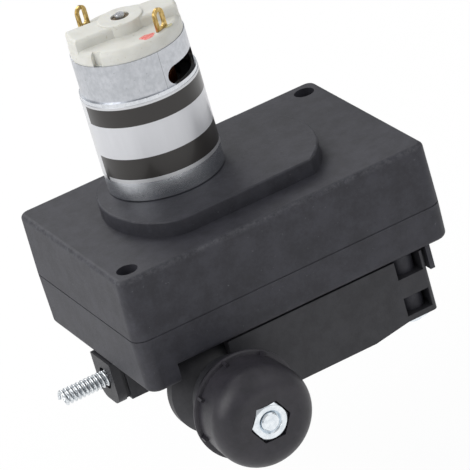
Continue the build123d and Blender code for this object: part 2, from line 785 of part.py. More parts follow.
bearing_spots = (hub_high_z - bearing_width, hub_low_z)
inner_race_r = output_shaft_r + 2.0
outer_race_r = bearing_r - 2.0
ball_r = (outer_race_r - inner_race_r) / 2 + 0.7
with BuildPart() as inner_races:
    for low in bearing_spots:
        with BuildSketch(roll_plane.offset(low)):
            Circle(inner_race_r)
            Circle(output_shaft_r + fit_clear, mode=Mode.SUBTRACT)
        extrude(amount=bearing_width)
        with BuildSketch(Plane((roll_x, roll_y, low + bearing_width / 2), (1, 0, 0), (0, -1, 0))):
            with Locations(((outer_race_r + inner_race_r) / 2, 0)):
                Circle(ball_r + run_clear)
        revolve(axis=Axis((roll_x, roll_y, 0), (0, 0, 1)), mode=Mode.SUBTRACT)
save(inner_races, "bearing_inner_races")

with BuildPart() as outer_races:
    for low in bearing_spots:
        with BuildSketch(roll_plane.offset(low)):
            Circle(bearing_r)
            Circle(outer_race_r, mode=Mode.SUBTRACT)
        extrude(amount=bearing_width)
        with BuildSketch(Plane((roll_x, roll_y, low + bearing_width / 2), (1, 0, 0), (0, -1, 0))):
            with Locations(((outer_race_r + inner_race_r) / 2, 0)):
                Circle(ball_r + run_clear)
        revolve(axis=Axis((roll_x, roll_y, 0), (0, 0, 1)), mode=Mode.SUBTRACT)
save(outer_races, "bearing_outer_races")

with BuildPart() as bearing_balls:
    for low in bearing_spots:
        with Locations(roll_plane.offset(low + bearing_width / 2)):
            with PolarLocations((outer_race_r + inner_race_r) / 2, 7):
                Sphere(ball_r)
save(bearing_balls, "bearing_balls")

with BuildPart() as bearing_clip:
    with BuildSketch(roll_plane.offset(hub_low_z - 0.9)):
        Circle(output_shaft_r + 1.6)
        Circle(output_shaft_r + fit_clear, mode=Mode.SUBTRACT)
    extrude(amount=0.8)
save(bearing_clip, "shaft_clip")

with BuildPart() as drive_roll:
    with BuildSketch(Plane((roll_x, roll_y, 0), (1, 0, 0), (0, -1, 0))):
        with BuildLine():
            Polyline(
                (output_shaft_r + fit_clear, roll_high_z),
                (roll_r - 0.4, roll_high_z),
                (roll_r, roll_high_z - 0.4),
                (roll_r, wire_z + 0.7),
                (roll_r - 0.7, wire_z),
                (roll_r, wire_z - 0.7),
                (roll_r, roll_low_z + 0.4),
                (roll_r - 0.4, roll_low_z),
                (output_shaft_r + fit_clear, roll_low_z),
                close=True,
            )
        make_face()
    revolve(axis=Axis((roll_x, roll_y, 0), (0, 0, 1)))
    with BuildSketch(roll_plane.offset(roll_low_z)):
        with Locations((output_shaft_r, 0)):
            Rectangle(2.4, 2.0)
    extrude(amount=8.4, mode=Mode.SUBTRACT)
save(drive_roll, "drive_roll")

with BuildPart() as roll_key:
    with BuildSketch(roll_plane.offset(shaft_low_z + 0.2)):
        with Locations((output_shaft_r, 0)):
            Rectangle(2.3, 1.9)
    extrude(amount=7.6)
save(roll_key, "roll_key")

with BuildPart() as roll_screw:
    with BuildSketch(roll_plane.offset(roll_low_z)):
        Circle(7.0)
        with PolarLocations(7.2, 12):
            Circle(0.8, mode=Mode.SUBTRACT)
    extrude(amount=-5.0)
    with BuildSketch(roll_plane.offset(roll_low_z)):
        Circle(2.0)
    extrude(amount=8.0)
save(roll_screw, "roll_screw")

# ---------------------------------------------------------------- pressure arm
bolt_axis = Axis((bolt_x, bolt_y, bolt_z), (0, -1, 0))
# Sketch plane whose local x is +X, local y is +Z and whose normal is -Y.
side_plane = Plane(origin=(0, 0, 0), x_dir=(1, 0, 0), z_dir=(0, -1, 0))
link_x = bolt_x + cup_r + 1.7

with BuildPart() as pressure_arm:
    # Domed seat round the tension bolt, centred on the bolt's hinge.
    with BuildSketch(side_plane.offset(seat_back)):
        with Locations((bolt_x, bolt_z)):
            Circle(seat_r)
    extrude(amount=seat_sphere)
    with Locations((bolt_x, bolt_y, bolt_z)):
        Sphere(seat_sphere, mode=Mode.INTERSECT)
        Sphere(seat_sphere - seat_wall, mode=Mode.SUBTRACT)
    with BuildSketch(Plane.XY.offset(arm_high_z)):
        with Locations((bolt_x, bolt_y)):
            Rectangle(60, 60)
    extrude(amount=20.0, mode=Mode.SUBTRACT)
    with BuildSketch(side_plane.offset(-bolt_y)):
        with Locations((bolt_x, bolt_z)):
            Circle(slot_half)
            Rectangle(2 * slot_half, 20.0, align=(Align.CENTER, Align.MAX))
    extrude(amount=seat_sphere + 5, mode=Mode.SUBTRACT)
    # Flat outer plate, with a thick end that runs into the seat.
    with BuildSketch(side_plane.offset(arm_face - arm_plate)):
        with BuildLine():
            Polyline(
                (bolt_x + slot_half + 0.6, arm_high_z),
                (pivot_x, arm_high_z),
                (pivot_x, knuckle_low_z),
                (pivot_x - 4.6, knuckle_low_z),
                (pivot_x - 17.0, arm_low_z),
                (link_x, arm_low_z),
                (link_x, bolt_z),
                (bolt_x + slot_half + 0.6, bolt_z),
                close=True,
            )
        make_face()
    extrude(amount=arm_plate)
    with BuildSketch(Plane.XY.offset(arm_low_z)):
        with Locations((link_x, -arm_face)):
            Rectangle(5.0, arm_face + bolt_y - 9.0, align=(Align.MIN, Align.MIN))
    extrude(amount=arm_high_z - arm_low_z)
    # Roller carrier: a web and two cheeks.
    web_back = roller_y - roll_r - 1.3
    with BuildSketch(Plane.XY.offset(cheek_low_z)):
        with Locations((roll_x, -arm_face + 1.0)):
            Rectangle(18.0, arm_face - 1.0 + web_back, align=(Align.CENTER, Align.MIN))
    extrude(amount=cheek_high_z - cheek_low_z)
    for low in (cheek_low_z, cheek_high_z - cheek_thick):
        with BuildSketch(Plane.XY.offset(low)):
            with Locations((roll_x, roller_y)):
                Circle(8.0)
            with Locations((roll_x, -arm_face + 1.0)):
                Rectangle(16.0, arm_face - 1.0 + roller_y, align=(Align.CENTER, Align.MIN))
        extrude(amount=cheek_thick)
    # Knuckle on the pivot post, with its two windows.
    with BuildSketch(Plane.XY.offset(knuckle_low_z)):
        with Locations((pivot_x, pivot_y)):
            Circle(knuckle_r)
        with Locations((pivot_x - 6.0, -arm_face)):
            Rectangle(6.0 + knuckle_r, arm_face + pivot_y, align=(Align.MIN, Align.MIN))
    extrude(amount=arm_high_z - knuckle_low_z)
    knuckle_corner = pressure_arm.edges().filter_by(Axis.Z).sort_by(
        lambda e: (e.center().X - pivot_x - knuckle_r) ** 2 + (e.center().Y + arm_face) ** 2
    )[0]
    fillet(knuckle_corner, 1.8)
    with BuildSketch(Plane.XY.offset(knuckle_low_z - 1)):
        with Locations((pivot_x, pivot_y)):
            Circle(post_r + run_clear)
    extrude(amount=arm_drop + 2, mode=Mode.SUBTRACT)
    window_low = pivot_x - window_width / 2
    for high, low in ((arm_high_z, wire_z + 6.3), (wire_z - 0.1, knuckle_low_z + rim_thick)):
        with BuildSketch(Plane.XY.offset(low)):
            with Locations((window_low, -arm_face - 1)):
                Rectangle(window_width, arm_face + 1 + pivot_y, align=(Align.MIN, Align.MIN))
        extrude(amount=high - low, mode=Mode.SUBTRACT)
    with BuildSketch(Plane.XY.offset(cheek_low_z - 1)):
        with Locations((roll_x, roller_y)):
            Circle(axle_r + fit_clear)
    extrude(amount=cheek_high_z - cheek_low_z + 2, mode=Mode.SUBTRACT)
save(pressure_arm, "pressure_arm")

roller_plane = Plane((roll_x, roller_y, 0))
with BuildPart() as pressure_roller:
    with BuildSketch(roller_plane.offset(roller_low_z)):
        Circle(roll_r)
        Circle(axle_r + run_clear, mode=Mode.SUBTRACT)
    extrude(amount=pressure_roller_width)
    fillet(pressure_roller.edges().filter_by(GeomType.CIRCLE).filter_by(lambda e: e.radius > 9), 0.5)
    for low in (roller_low_z, roller_high_z - 0.4):
        with BuildSketch(roller_plane.offset(low)):
            Circle(outer_race_r)
            Circle(inner_race_r, mode=Mode.SUBTRACT)
        extrude(amount=0.4, mode=Mode.SUBTRACT)
save(pressure_roller, "pressure_roller")

with BuildPart() as roller_axle:
    with BuildSketch(roller_plane.offset(cheek_low_z - 1.4)):
        Circle(axle_r)
    extrude(amount=cheek_high_z - cheek_low_z + 2.0)
    with BuildSketch(roller_plane.offset(cheek_low_z - 0.7)):
        Circle(axle_r + 1)
        Circle(axle_r - 0.5, mode=Mode.SUBTRACT)
    extrude(amount=0.6, mode=Mode.SUBTRACT)
    with BuildSketch(roller_plane.offset(cheek_high_z + 0.6)):
        Circle(axle_r + 1.2)
    extrude(amount=-0.55)
save(roller_axle, "roller_axle")

with BuildPart() as axle_clip:
    with BuildSketch(roller_plane.offset(cheek_low_z - 0.65)):
        Circle(axle_r + 1.6)
        Circle(axle_r - 0.45, mode=Mode.SUBTRACT)
        with Locations((0, axle_r)):
            Rectangle(4.5, 5.0, mode=Mode.SUBTRACT)
    extrude(amount=0.5)
save(axle_clip, "axle_clip")

pivot_plane = Plane((pivot_x, pivot_y, 0))
post_end_z = knuckle_low_z - 0.1
with BuildPart() as pivot_washer:
    with BuildSketch(pivot_plane.offset(post_end_z)):
        Circle(5.6)
        Circle(case_screw_r + screw_clear, mode=Mode.SUBTRACT)
    extrude(amount=-0.9)
save(pivot_washer, "pivot_washer")

with BuildPart() as pivot_screw:
    with BuildSketch(pivot_plane.offset(post_end_z - 0.9)):
        Circle(3.0)
    extrude(amount=-2.0)
    fillet(pivot_screw.faces().sort_by(Axis.Z)[0].edges(), 0.7)
    with BuildSketch(pivot_plane.offset(post_end_z - 2.9)):
        Rectangle(3.4, 0.7)
        Rectangle(0.7, 3.4)
    extrude(amount=1.1, mode=Mode.SUBTRACT)
    with BuildSketch(pivot_plane.offset(post_end_z - 0.9)):
        Circle(case_screw_r)
    extrude(amount=12.0)
save(pivot_screw, "pivot_screw")

# ---------------------------------------------------------------- tension bolt
hinge_plane = Plane(origin=(bolt_x, bolt_y, bolt_z), x_dir=(0, 1, 0), z_dir=(1, 0, 0))
bolt_plane = Plane(origin=(bolt_x, bolt_y, bolt_z), x_dir=(1, 0, 0), z_dir=(0, -1, 0))
knob_end = knob_start + knob_length
tip_reach = knob_end + bolt_y

with BuildPart() as tension_bolt:
    with BuildSketch(hinge_plane.offset(-eye_width / 2)):
        Circle(eye_r)
    extrude(amount=eye_width)
    with BuildSketch(bolt_plane):
        Circle(bolt_r)
    extrude(amount=tip_reach)
    chamfer(tension_bolt.edges().sort_by(Axis.Y)[0], 0.4)
    with BuildSketch(hinge_plane.offset(-eye_width)):
        Circle(bolt_pin_r + run_clear)
    extrude(amount=2 * eye_width, mode=Mode.SUBTRACT)
save(tension_bolt, "tension_bolt")

pin_start = ear_faces[0] - 0.6
pin_end = ear_faces[1] + ear_thick + 1.4
with BuildPart() as bolt_pin:
    with BuildSketch(hinge_plane.offset(pin_start - bolt_x)):
        Circle(bolt_pin_r)
    extrude(amount=pin_end - pin_start)
    with BuildSketch(hinge_plane.offset(pin_start - bolt_x)):
        Circle(bolt_pin_r + 0.9)
    extrude(amount=0.55)
    with BuildSketch(hinge_plane.offset(pin_end - 1.0 - bolt_x)):
        Circle(bolt_pin_r + 1)
        Circle(bolt_pin_r - 0.4, mode=Mode.SUBTRACT)
    extrude(amount=0.6, mode=Mode.SUBTRACT)
save(bolt_pin, "bolt_pin")

with BuildPart() as bolt_pin_clip:
    with BuildSketch(hinge_plane.offset(pin_end - 0.95 - bolt_x)):
        Circle(bolt_pin_r + 1.4)
        Circle(bolt_pin_r - 0.35, mode=Mode.SUBTRACT)
        with Locations((0, bolt_pin_r)):
            Rectangle(2.4, 4.0, mode=Mode.SUBTRACT)
    extrude(amount=0.5)
save(bolt_pin_clip, "bolt_pin_clip")

cup_reach = seat_sphere + piece_gap
with BuildPart() as spring_cup:
    with BuildSketch(bolt_plane.offset(cup_reach)):
        Circle(cup_r)
    extrude(amount=cup_base)
    with BuildSketch(bolt_plane.offset(cup_reach)):
        Circle(cup_tube_r)
    extrude(amount=cup_length)
    with BuildSketch(bolt_plane.offset(cup_reach + cup_base)):
        Circle(cup_tube_r - 1.8)
    extrude(amount=cup_length, mode=Mode.SUBTRACT)
    with BuildSketch(bolt_plane.offset(cup_reach - 1)):
        Circle(bolt_r + 0.08)
    extrude(amount=cup_base + 2, mode=Mode.SUBTRACT)
save(spring_cup, "spring_cup")

knob_floor = knob_start + bolt_y + knob_bore_depth
with BuildPart() as thrust_washer:
    with BuildSketch(bolt_plane.offset(knob_floor - washer_thick)):
        Circle(washer_r)
        Circle(bolt_r + 0.08, mode=Mode.SUBTRACT)
    extrude(amount=washer_thick)
save(thrust_washer, "thrust_washer")

spring_low = cup_reach + cup_base
spring_high = knob_floor - washer_thick
spring_tail = spring_wire
spring_pitch = (spring_high - spring_low - spring_wire - 0.4) / spring_turns
print("tension spring gap", round(coil_gap(spring_mean_r, spring_wire, spring_pitch), 3))
with BuildPart() as tension_spring:
    with BuildLine() as spring_path:
        coil_path(
            bolt_plane.offset(spring_low + spring_wire / 2 + 0.2),
            spring_mean_r,
            spring_pitch,
            spring_turns,
            spring_tail,
        )
    with BuildSketch(Plane(origin=spring_path.line @ 0, z_dir=spring_path.line % 0)):
        Circle(spring_wire / 2)
    sweep(path=spring_path.line)
save(tension_spring, "tension_spring")

knob_near = knob_start + bolt_y
knob_far = knob_end + bolt_y
hex_depth = nut_height
with BuildPart() as tension_knob:
    with BuildSketch(Plane(origin=(bolt_x, bolt_y, bolt_z), x_dir=(1, 0, 0), z_dir=(0, 0, -1))):
        with BuildLine():
            Polyline(
                (0, knob_near),
                (lip_r - 0.4, knob_near),
                (lip_r, knob_near + 0.4),
                (lip_r, knob_near + lip_thick - 0.3),
                (lip_r - 0.5, knob_near + lip_thick),
                (knob_r - 0.3, knob_near + lip_thick + 0.2),
                (knob_r, knob_far - 7.0),
            )
            TangentArc(
                (knob_r, knob_far - 7.0),
                (knob_r - 6.2, knob_far),
                tangent=(0.02, 1.0),
            )
            Polyline((knob_r - 6.2, knob_far), (0, knob_far), (0, knob_near))
        make_face()
    revolve(axis=Axis((bolt_x, bolt_y, bolt_z), (0, -1, 0)))
    for count in range(8):
        turn = radians(45.0 * count + 12.0)
        rib_plane = Plane(
            origin=(bolt_x, bolt_y - knob_near - lip_thick / 2, bolt_z),
            x_dir=(cos(turn), 0, sin(turn)),
            z_dir=(0, -1, 0),
        )
        with BuildSketch(rib_plane):
            with Locations((knob_r - 1.0, 0)):
                Rectangle(1.9, 0.9, align=(Align.MIN, Align.CENTER))
        extrude(amount=lip_thick / 2 + 2.6)
    with BuildSketch(bolt_plane.offset(knob_near - 1)):
        Circle(knob_bore_r)
    extrude(amount=knob_bore_depth + 1, mode=Mode.SUBTRACT)
    with BuildSketch(bolt_plane.offset(knob_floor - 1)):
        Circle(bolt_r + 0.08)
    extrude(amount=knob_length, mode=Mode.SUBTRACT)
    with BuildSketch(bolt_plane.offset(knob_far - hex_depth)):
        RegularPolygon(nut_flats / 2 + 0.4, 6, major_radius=False)
    extrude(amount=hex_depth + 1, mode=Mode.SUBTRACT)
save(tension_knob, "tension_knob")

with BuildPart() as knob_nut:
    with BuildSketch(bolt_plane.offset(knob_far - hex_depth)):
        RegularPolygon(nut_flats / 2, 6, major_radius=False)
        Circle(bolt_r + run_clear, mode=Mode.SUBTRACT)
    extrude(amount=nut_height - 0.2)
save(knob_nut, "knob_nut")

# ---------------------------------------------------------------- wire guides
guide_plane = Plane(origin=(0, 0, wire_z), x_dir=(0, 1, 0), z_dir=(1, 0, 0))
guide_outer = guide_mean_r + guide_wire / 2
block_drop = guide_block_low
inlet_rise = hood_z - piece_gap - wire_z + block_drop
with BuildPart() as inlet_guide:
    with BuildSketch(guide_plane.offset(inlet_face)):
        with Locations((0, -block_drop)):
            Rectangle(2 * guide_block_half, inlet_rise, align=(Align.CENTER, Align.MIN))
    extrude(amount=inlet_flange)
    fillet(inlet_guide.edges().filter_by(Axis.X).sort_by(Axis.Z)[:2], 4.5)
    with BuildSketch(guide_plane.offset(inlet_back)):
        with Locations((0, -block_drop + 1.6)):
            Rectangle(2 * guide_block_half - 2.4, inlet_rise - 1.6, align=(Align.CENTER, Align.MIN))
    extrude(amount=1.3)
    with BuildSketch(guide_plane.offset(inlet_back + 1.3)):
        with Locations((0, -block_drop + 0.7)):
            Rectangle(2 * guide_block_half - 0.8, inlet_rise - 0.7, align=(Align.CENTER, Align.MIN))
    extrude(amount=guide_end - inlet_back - 1.3)
    with BuildSketch(guide_plane.offset(inlet_face)):
        Circle(guide_outer + 0.9)
    extrude(amount=1.4, mode=Mode.SUBTRACT)
    with BuildSketch(guide_plane.offset(inlet_face)):
        Circle(guide_outer + 0.1)
    extrude(amount=guide_seat + 0.4, mode=Mode.SUBTRACT)
    with BuildSketch(guide_plane.offset(inlet_face)):
        Circle(tube_r + fit_clear)
    extrude(amount=14.0, mode=Mode.SUBTRACT)
    with BuildSketch(Plane.XY.offset(hood_z - piece_gap)):
        with Locations((-48.0, 5.0), (-48.0, -5.0)):
            Circle(0.9)
    extrude(amount=-3.0, mode=Mode.SUBTRACT)
save(inlet_guide, "inlet_guide")

guide_pitch = (guide_reach + guide_seat - guide_wire) / guide_turns
print("guide coil gap", round(coil_gap(guide_mean_r, guide_wire, guide_pitch), 3))
with BuildPart() as guide_coil:
    coil_start = inlet_face - guide_reach + guide_wire / 2
    with BuildLine() as guide_path:
        coil_path(guide_plane.offset(coil_start), guide_mean_r, guide_pitch, guide_turns, guide_wire)
    with BuildSketch(Plane(origin=guide_path.line @ 0, z_dir=guide_path.line % 0)):
        Circle(guide_wire / 2)
    sweep(path=guide_path.line)
save(guide_coil, "guide_coil")

nip_stop = 8.5
with BuildPart() as inlet_tube:
    with BuildSketch(guide_plane.offset(inlet_face + 6.0)):
        Circle(tube_r)
        Circle(tube_bore_r, mode=Mode.SUBTRACT)
    extrude(amount=roll_x - nip_stop - inlet_face - 6.0)
save(inlet_tube, "inlet_tube")

with BuildPart() as outlet_tube:
    with BuildSketch(guide_plane.offset(roll_x + nip_stop)):
        Circle(tube_r)
        Circle(tube_bore_r, mode=Mode.SUBTRACT)
    extrude(amount=block_start + 4.8 - roll_x - nip_stop)
save(outlet_tube, "outlet_tube")

with BuildPart() as torch_screw:
    with BuildSketch(Plane.XY.offset(block_low_z)):
        with Locations((block_start + 12, 0)):
            Circle(4.5)
            RegularPolygon(2.3, 6, mode=Mode.SUBTRACT)
    extrude(amount=-4.0)
    with BuildSketch(Plane.XY.offset(block_low_z - 1.2)):
        with Locations((block_start + 12, 0)):
            Circle(2.5)
    extrude(amount=1.2 + guide_block_low - torch_bore_r - 0.6)
save(torch_screw, "torch_screw")
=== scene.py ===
from math import cos, pi, radians, sin, tan

import bpy
import numpy as np
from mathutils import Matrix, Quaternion, Vector


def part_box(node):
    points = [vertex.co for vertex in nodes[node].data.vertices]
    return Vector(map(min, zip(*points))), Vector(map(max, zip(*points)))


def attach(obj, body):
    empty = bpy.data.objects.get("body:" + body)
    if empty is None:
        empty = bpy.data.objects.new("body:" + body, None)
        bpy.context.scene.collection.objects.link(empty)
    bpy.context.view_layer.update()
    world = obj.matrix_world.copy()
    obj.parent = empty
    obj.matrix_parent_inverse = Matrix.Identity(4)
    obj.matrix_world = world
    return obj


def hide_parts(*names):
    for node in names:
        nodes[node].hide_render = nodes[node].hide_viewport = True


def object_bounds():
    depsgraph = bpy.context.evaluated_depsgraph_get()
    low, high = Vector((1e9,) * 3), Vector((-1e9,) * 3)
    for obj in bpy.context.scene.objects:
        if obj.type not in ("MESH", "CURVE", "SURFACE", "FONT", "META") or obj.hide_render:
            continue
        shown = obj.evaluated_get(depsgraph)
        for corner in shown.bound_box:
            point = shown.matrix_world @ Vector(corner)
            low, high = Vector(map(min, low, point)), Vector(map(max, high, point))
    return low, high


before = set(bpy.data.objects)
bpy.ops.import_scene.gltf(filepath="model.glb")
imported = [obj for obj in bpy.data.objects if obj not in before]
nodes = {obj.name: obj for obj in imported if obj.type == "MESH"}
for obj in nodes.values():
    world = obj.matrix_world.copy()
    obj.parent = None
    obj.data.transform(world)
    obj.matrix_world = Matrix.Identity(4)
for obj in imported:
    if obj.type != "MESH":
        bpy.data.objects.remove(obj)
cad_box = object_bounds()

# ------------------------------------------------------------------ camera, floor and light
# The feeder is seen from its knob side and inlet side, a little from above, by a camera that
# is turned about its own axis. A plain white floor lies far enough below for the knob to swing
# down over it, in the light of three large soft lamps and a pale sky.
MM = 0.001
view_target = Vector((-1.264, -3.344, -18.322)) * MM
view_azimuth = radians(-19.995)
view_elevation = radians(24.785)
view_roll = radians(-16.357)
view_distance = 1.21635
lens_mm = 303.26
floor_half = 6.0
floor_drop = 45 * MM
floor_white = 0.93
lamp_reach = 1.4
lamps = [
    # direction from the object, width in metres and power in watts
    ((-1.0, -0.10, 0.70), 1.0, 9.8),
    ((0.60, -0.85, 0.70), 1.2, 2.9),
    ((-0.10, 0.95, 0.90), 0.9, 7.2),
]
sky_strength = 0.52


def linear(code, alpha=1.0):
    """An sRGB hex colour as linear RGBA, by the sRGB curve."""
    parts = [int(code[i : i + 2], 16) / 255 for i in (1, 3, 5)]
    return [c / 12.92 if c <= 0.04045 else ((c + 0.055) / 1.055) ** 2.4 for c in parts] + [alpha]


def add(tree, kind, inputs=None, stops=(), **settings):
    """Add one shader node. inputs maps a socket's name or number to a value, or to an output
    to link; stops, for a colour ramp, are pairs of place and hex colour or grey level."""
    made = tree.nodes.new("ShaderNode" + kind)
    for name, value in settings.items():
        setattr(made, name, value)
    for key, value in (inputs or {}).items():
        if isinstance(value, bpy.types.NodeSocket):
            tree.links.new(value, made.inputs[key])
        else:
            made.inputs[key].default_value = value
    while stops and len(made.color_ramp.elements) < len(stops):
        made.color_ramp.elements.new(1.0)
    for number, (place, tone) in enumerate(stops):
        element = made.color_ramp.elements[number]
        element.position = place
        element.color = linear(tone) if isinstance(tone, str) else (tone, tone, tone, 1)
    return made


def surface(name, **constants):
    """Start a material: its tree, its shader with constants set, and its object coordinates."""
    made = bpy.data.materials.new(name)
    made.use_nodes = True
    tree = made.node_tree
    tree.nodes.clear()
    shader = add(tree, "BsdfPrincipled", {k.replace("_", " "): v for k, v in constants.items()})
    add(tree, "OutputMaterial", {"Surface": shader.outputs[0]})
    return made, tree, shader, add(tree, "TexCoord").outputs["Object"]


def sheet_mesh(name, points, material, close_u=False, close_v=False, caps=()):
    """A mesh from a grid of points, rows along u and columns along v. Quads join each point to
    the next in both directions, around again where closed; caps names the end rows to fill."""
    rows, cols = points.shape[:2]
    index = np.arange(rows * cols).reshape(rows, cols)
    if close_u:
        index = np.vstack([index, index[:1]])
    if close_v:
        index = np.hstack([index, index[:, :1]])
    quads = np.stack([index[:-1, :-1], index[:-1, 1:], index[1:, 1:], index[1:, :-1]], axis=-1)
    faces = quads.reshape(-1, 4).tolist()
    if "first" in caps:
        faces.append(index[0, :cols].tolist())
    if "last" in caps:
        faces.append(index[rows - 1, :cols].tolist()[::-1])
    mesh = bpy.data.meshes.new(name)
    mesh.from_pydata(points.reshape(-1, 3).tolist(), [], faces)
    mesh.update()
    mesh.shade_smooth()
    mesh.materials.append(material)
    made = bpy.data.objects.new(name, mesh)
    bpy.context.collection.objects.link(made)
    return made


toward = Vector((
    sin(view_azimuth) * cos(view_elevation),
    -cos(view_azimuth) * cos(view_elevation),
    sin(view_elevation),
))
lens = bpy.data.cameras.new("camera")
lens.lens = lens_mm
lens.sensor_width = 36.0
lens.clip_start = 0.05
lens.clip_end = 20.0
camera = bpy.data.objects.new("camera", lens)
bpy.context.collection.objects.link(camera)
camera.location = view_target + toward * view_distance
camera.rotation_mode = "QUATERNION"
camera.rotation_quaternion = toward.to_track_quat("Z", "Y") @ Quaternion((0, 0, 1), view_roll)
bpy.context.scene.camera = camera

paper, tree, shader, _ = surface("white_paper", Roughness=0.9)
shader.inputs["Base Color"].default_value = linear("#FFFFFF")
# The paper keeps the shadows on it and is lifted to clean white where it is looked at.
path = add(tree, "LightPath").outputs
seen = add(tree, "Math", {0: path["Is Camera Ray"], 1: path["Is Glossy Ray"]}, operation="MAXIMUM")
glow = add(tree, "Emission", {"Color": linear("#FFFFFF"), "Strength": 1.0})
share = add(tree, "Math", {0: seen.outputs[0], 1: floor_white}, operation="MULTIPLY")
both = add(tree, "MixShader", {0: share.outputs[0], 1: shader.outputs[0], 2: glow.outputs[0]})
tree.links.new(both.outputs[0], tree.nodes["Material Output"].inputs["Surface"])
side = np.array([-floor_half, floor_half])
floor_z = np.full((2, 2), cad_box[0][2] - floor_drop)
grid = np.stack([*np.meshgrid(side, side, indexing="ij"), floor_z], axis=-1)
floor = sheet_mesh("floor", grid[:, ::-1], paper)

for number, (way, width, power) in enumerate(lamps):
    lamp = bpy.data.lights.new(f"lamp_{number}", "AREA")
    lamp.size = width
    lamp.energy = power
    holder = bpy.data.objects.new(f"lamp_{number}", lamp)
    bpy.context.collection.objects.link(holder)
    direction = Vector(way).normalized()
    holder.location = direction * lamp_reach
    holder.rotation_mode = "QUATERNION"
    holder.rotation_quaternion = direction.to_track_quat("Z", "Y")

sky = bpy.data.worlds.new("sky")
sky.use_nodes = True
bpy.context.scene.world = sky
tree = sky.node_tree
tree.nodes.clear()
# Grey under the horizon and white overhead, and plain white where it is looked at.
aim = add(tree, "TexCoord").outputs["Generated"]
height = add(tree, "SeparateXYZ", {0: aim}).outputs["Z"]
height = add(tree, "MapRange", {"Value": height, "From Min": -0.15, "From Max": 0.9}).outputs[0]
sky_stops = [(0.0, "#8F9196"), (0.35, "#E8E9EC"), (1.0, "#FFFFFF")]
tint = add(tree, "ValToRGB", {0: height}, sky_stops).outputs["Color"]
seen = add(tree, "LightPath").outputs["Is Camera Ray"]
tint = add(tree, "Mix", {0: seen, 6: tint, 7: linear("#FFFFFF")}, data_type="RGBA").outputs[2]
strength = add(tree, "MapRange", {"Value": seen, "To Min": sky_strength, "To Max": 1.0}).outputs[0]
light = add(tree, "Background", {"Color": tint, "Strength": strength})
add(tree, "OutputWorld", {"Surface": light.outputs[0]})
bpy.context.scene.view_settings.view_transform = "Standard"

# ------------------------------------------------------------------ gearbox case
# Two halves of black glass-filled nylon, injection moulded and held together by screws. The
# spark-eroded mould leaves a fine even grain that scatters the light. The outer edges and corners
# are painted a little greyer, partly as rub wear from handling and partly as a painted edge highlight.
cover_low, cover_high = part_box("rear_cover")
half_x = (cover_high.x - cover_low.x) / 2
half_y = (cover_high.y - cover_low.y) / 2
# How far from the sides, and from the top, the rub wear and painted edge highlight start and are full.
side_rub_highlight_start, side_rub_highlight_full = 2.2 * MM, 0.3 * MM
top_rub_highlight_start, top_rub_highlight_full = 2.0 * MM, 0.4 * MM
rub_highlight_patch = 1.43 * MM
rub_highlight_share = 0.38
dust_fleck = 1.11 * MM
dust_share = 0.35
melt_cloud = 6.67 * MM
# The real grain is about a tenth of a millimetre, drawn as coarse as it needs to be to show.
case_grain = 0.45 * MM


def dress(material, *names):
    """Give the material to CAD nodes."""
    for name in names:
        for material_slot in nodes[name].material_slots:
            material_slot.material = material


def skin(tree, shader, colour, noise, roughness, strength, depth):
    """Finish a material: its colour, and a roughness and a relief that follow one noise."""
    tree.links.new(colour, shader.inputs["Base Color"])
    gloss = add(tree, "MapRange", {"Value": noise, "To Min": roughness[0], "To Max": roughness[1]})
    tree.links.new(gloss.outputs[0], shader.inputs["Roughness"])
    relief = add(tree, "Bump", {"Strength": strength, "Distance": depth, "Height": noise})
    tree.links.new(relief.outputs[0], shader.inputs["Normal"])


def rub_and_highlight_edges(tree, place, colour):
    """The colour made greyer along the cover's outer edges, partly as rub wear and partly as a painted
    edge highlight. Each face has a band that is 0 inside and 1 at the face; an edge is the product
    of two bands, and the greatest of the three products counts, times a patchy noise. Flecks of
    dust lie over the whole."""
    away = add(tree, "VectorMath", {0: place}, operation="ABSOLUTE").outputs[0]
    parts = add(tree, "SeparateXYZ", {0: away}).outputs
    true_z = add(tree, "SeparateXYZ", {0: place}).outputs["Z"]
    bands = [
        add(
            tree,
            "MapRange",
            {"Value": value, "From Min": start, "From Max": full},
            interpolation_type="SMOOTHSTEP",
        ).outputs[0]
        for value, start, full in (
            (parts["X"], half_x - side_rub_highlight_start, half_x - side_rub_highlight_full),
            (parts["Y"], half_y - side_rub_highlight_start, half_y - side_rub_highlight_full),
            (true_z, -top_rub_highlight_start, -top_rub_highlight_full),
        )
    ]
    edges = [
        add(tree, "Math", {0: bands[one], 1: bands[two]}, operation="MULTIPLY").outputs[0]
        for one, two in ((0, 1), (0, 2), (1, 2))
    ]
    most = add(tree, "Math", {0: edges[0], 1: edges[1]}, operation="MAXIMUM").outputs[0]
    most = add(tree, "Math", {0: most, 1: edges[2]}, operation="MAXIMUM").outputs[0]
    patch = add(tree, "TexNoise", {"Vector": place, "Scale": 1 / rub_highlight_patch, "Detail": 6.0, "Roughness": 0.75})
    patch = add(
        tree,
        "MapRange",
        {"Value": patch.outputs[0], "From Min": 0.36, "From Max": 0.70},
        interpolation_type="SMOOTHSTEP",
    )
    rub_highlight = add(tree, "Math", {0: most, 1: patch.outputs[0]}, operation="MULTIPLY").outputs[0]
    rub_highlight = add(tree, "Math", {0: rub_highlight, 1: rub_highlight_share}, operation="MULTIPLY").outputs[0]
    fleck = add(tree, "TexNoise", {"Vector": place, "Scale": 1 / dust_fleck, "Detail": 2.0})
    fleck = add(
        tree,
        "MapRange",
        {"Value": fleck.outputs[0], "From Min": 0.72, "From Max": 0.80},
        interpolation_type="SMOOTHSTEP",
    )
    dust = add(tree, "Math", {0: fleck.outputs[0], 1: dust_share}, operation="MULTIPLY").outputs[0]
    marks = add(tree, "Math", {0: rub_highlight, 1: dust}, operation="MAXIMUM").outputs[0]
    # The lighter grey stands partly for rub wear and dust, and partly for a painted edge highlight.
    return add(tree, "Mix", {0: marks, 6: colour, 7: linear("#77787C")}, data_type="RGBA").outputs[2]


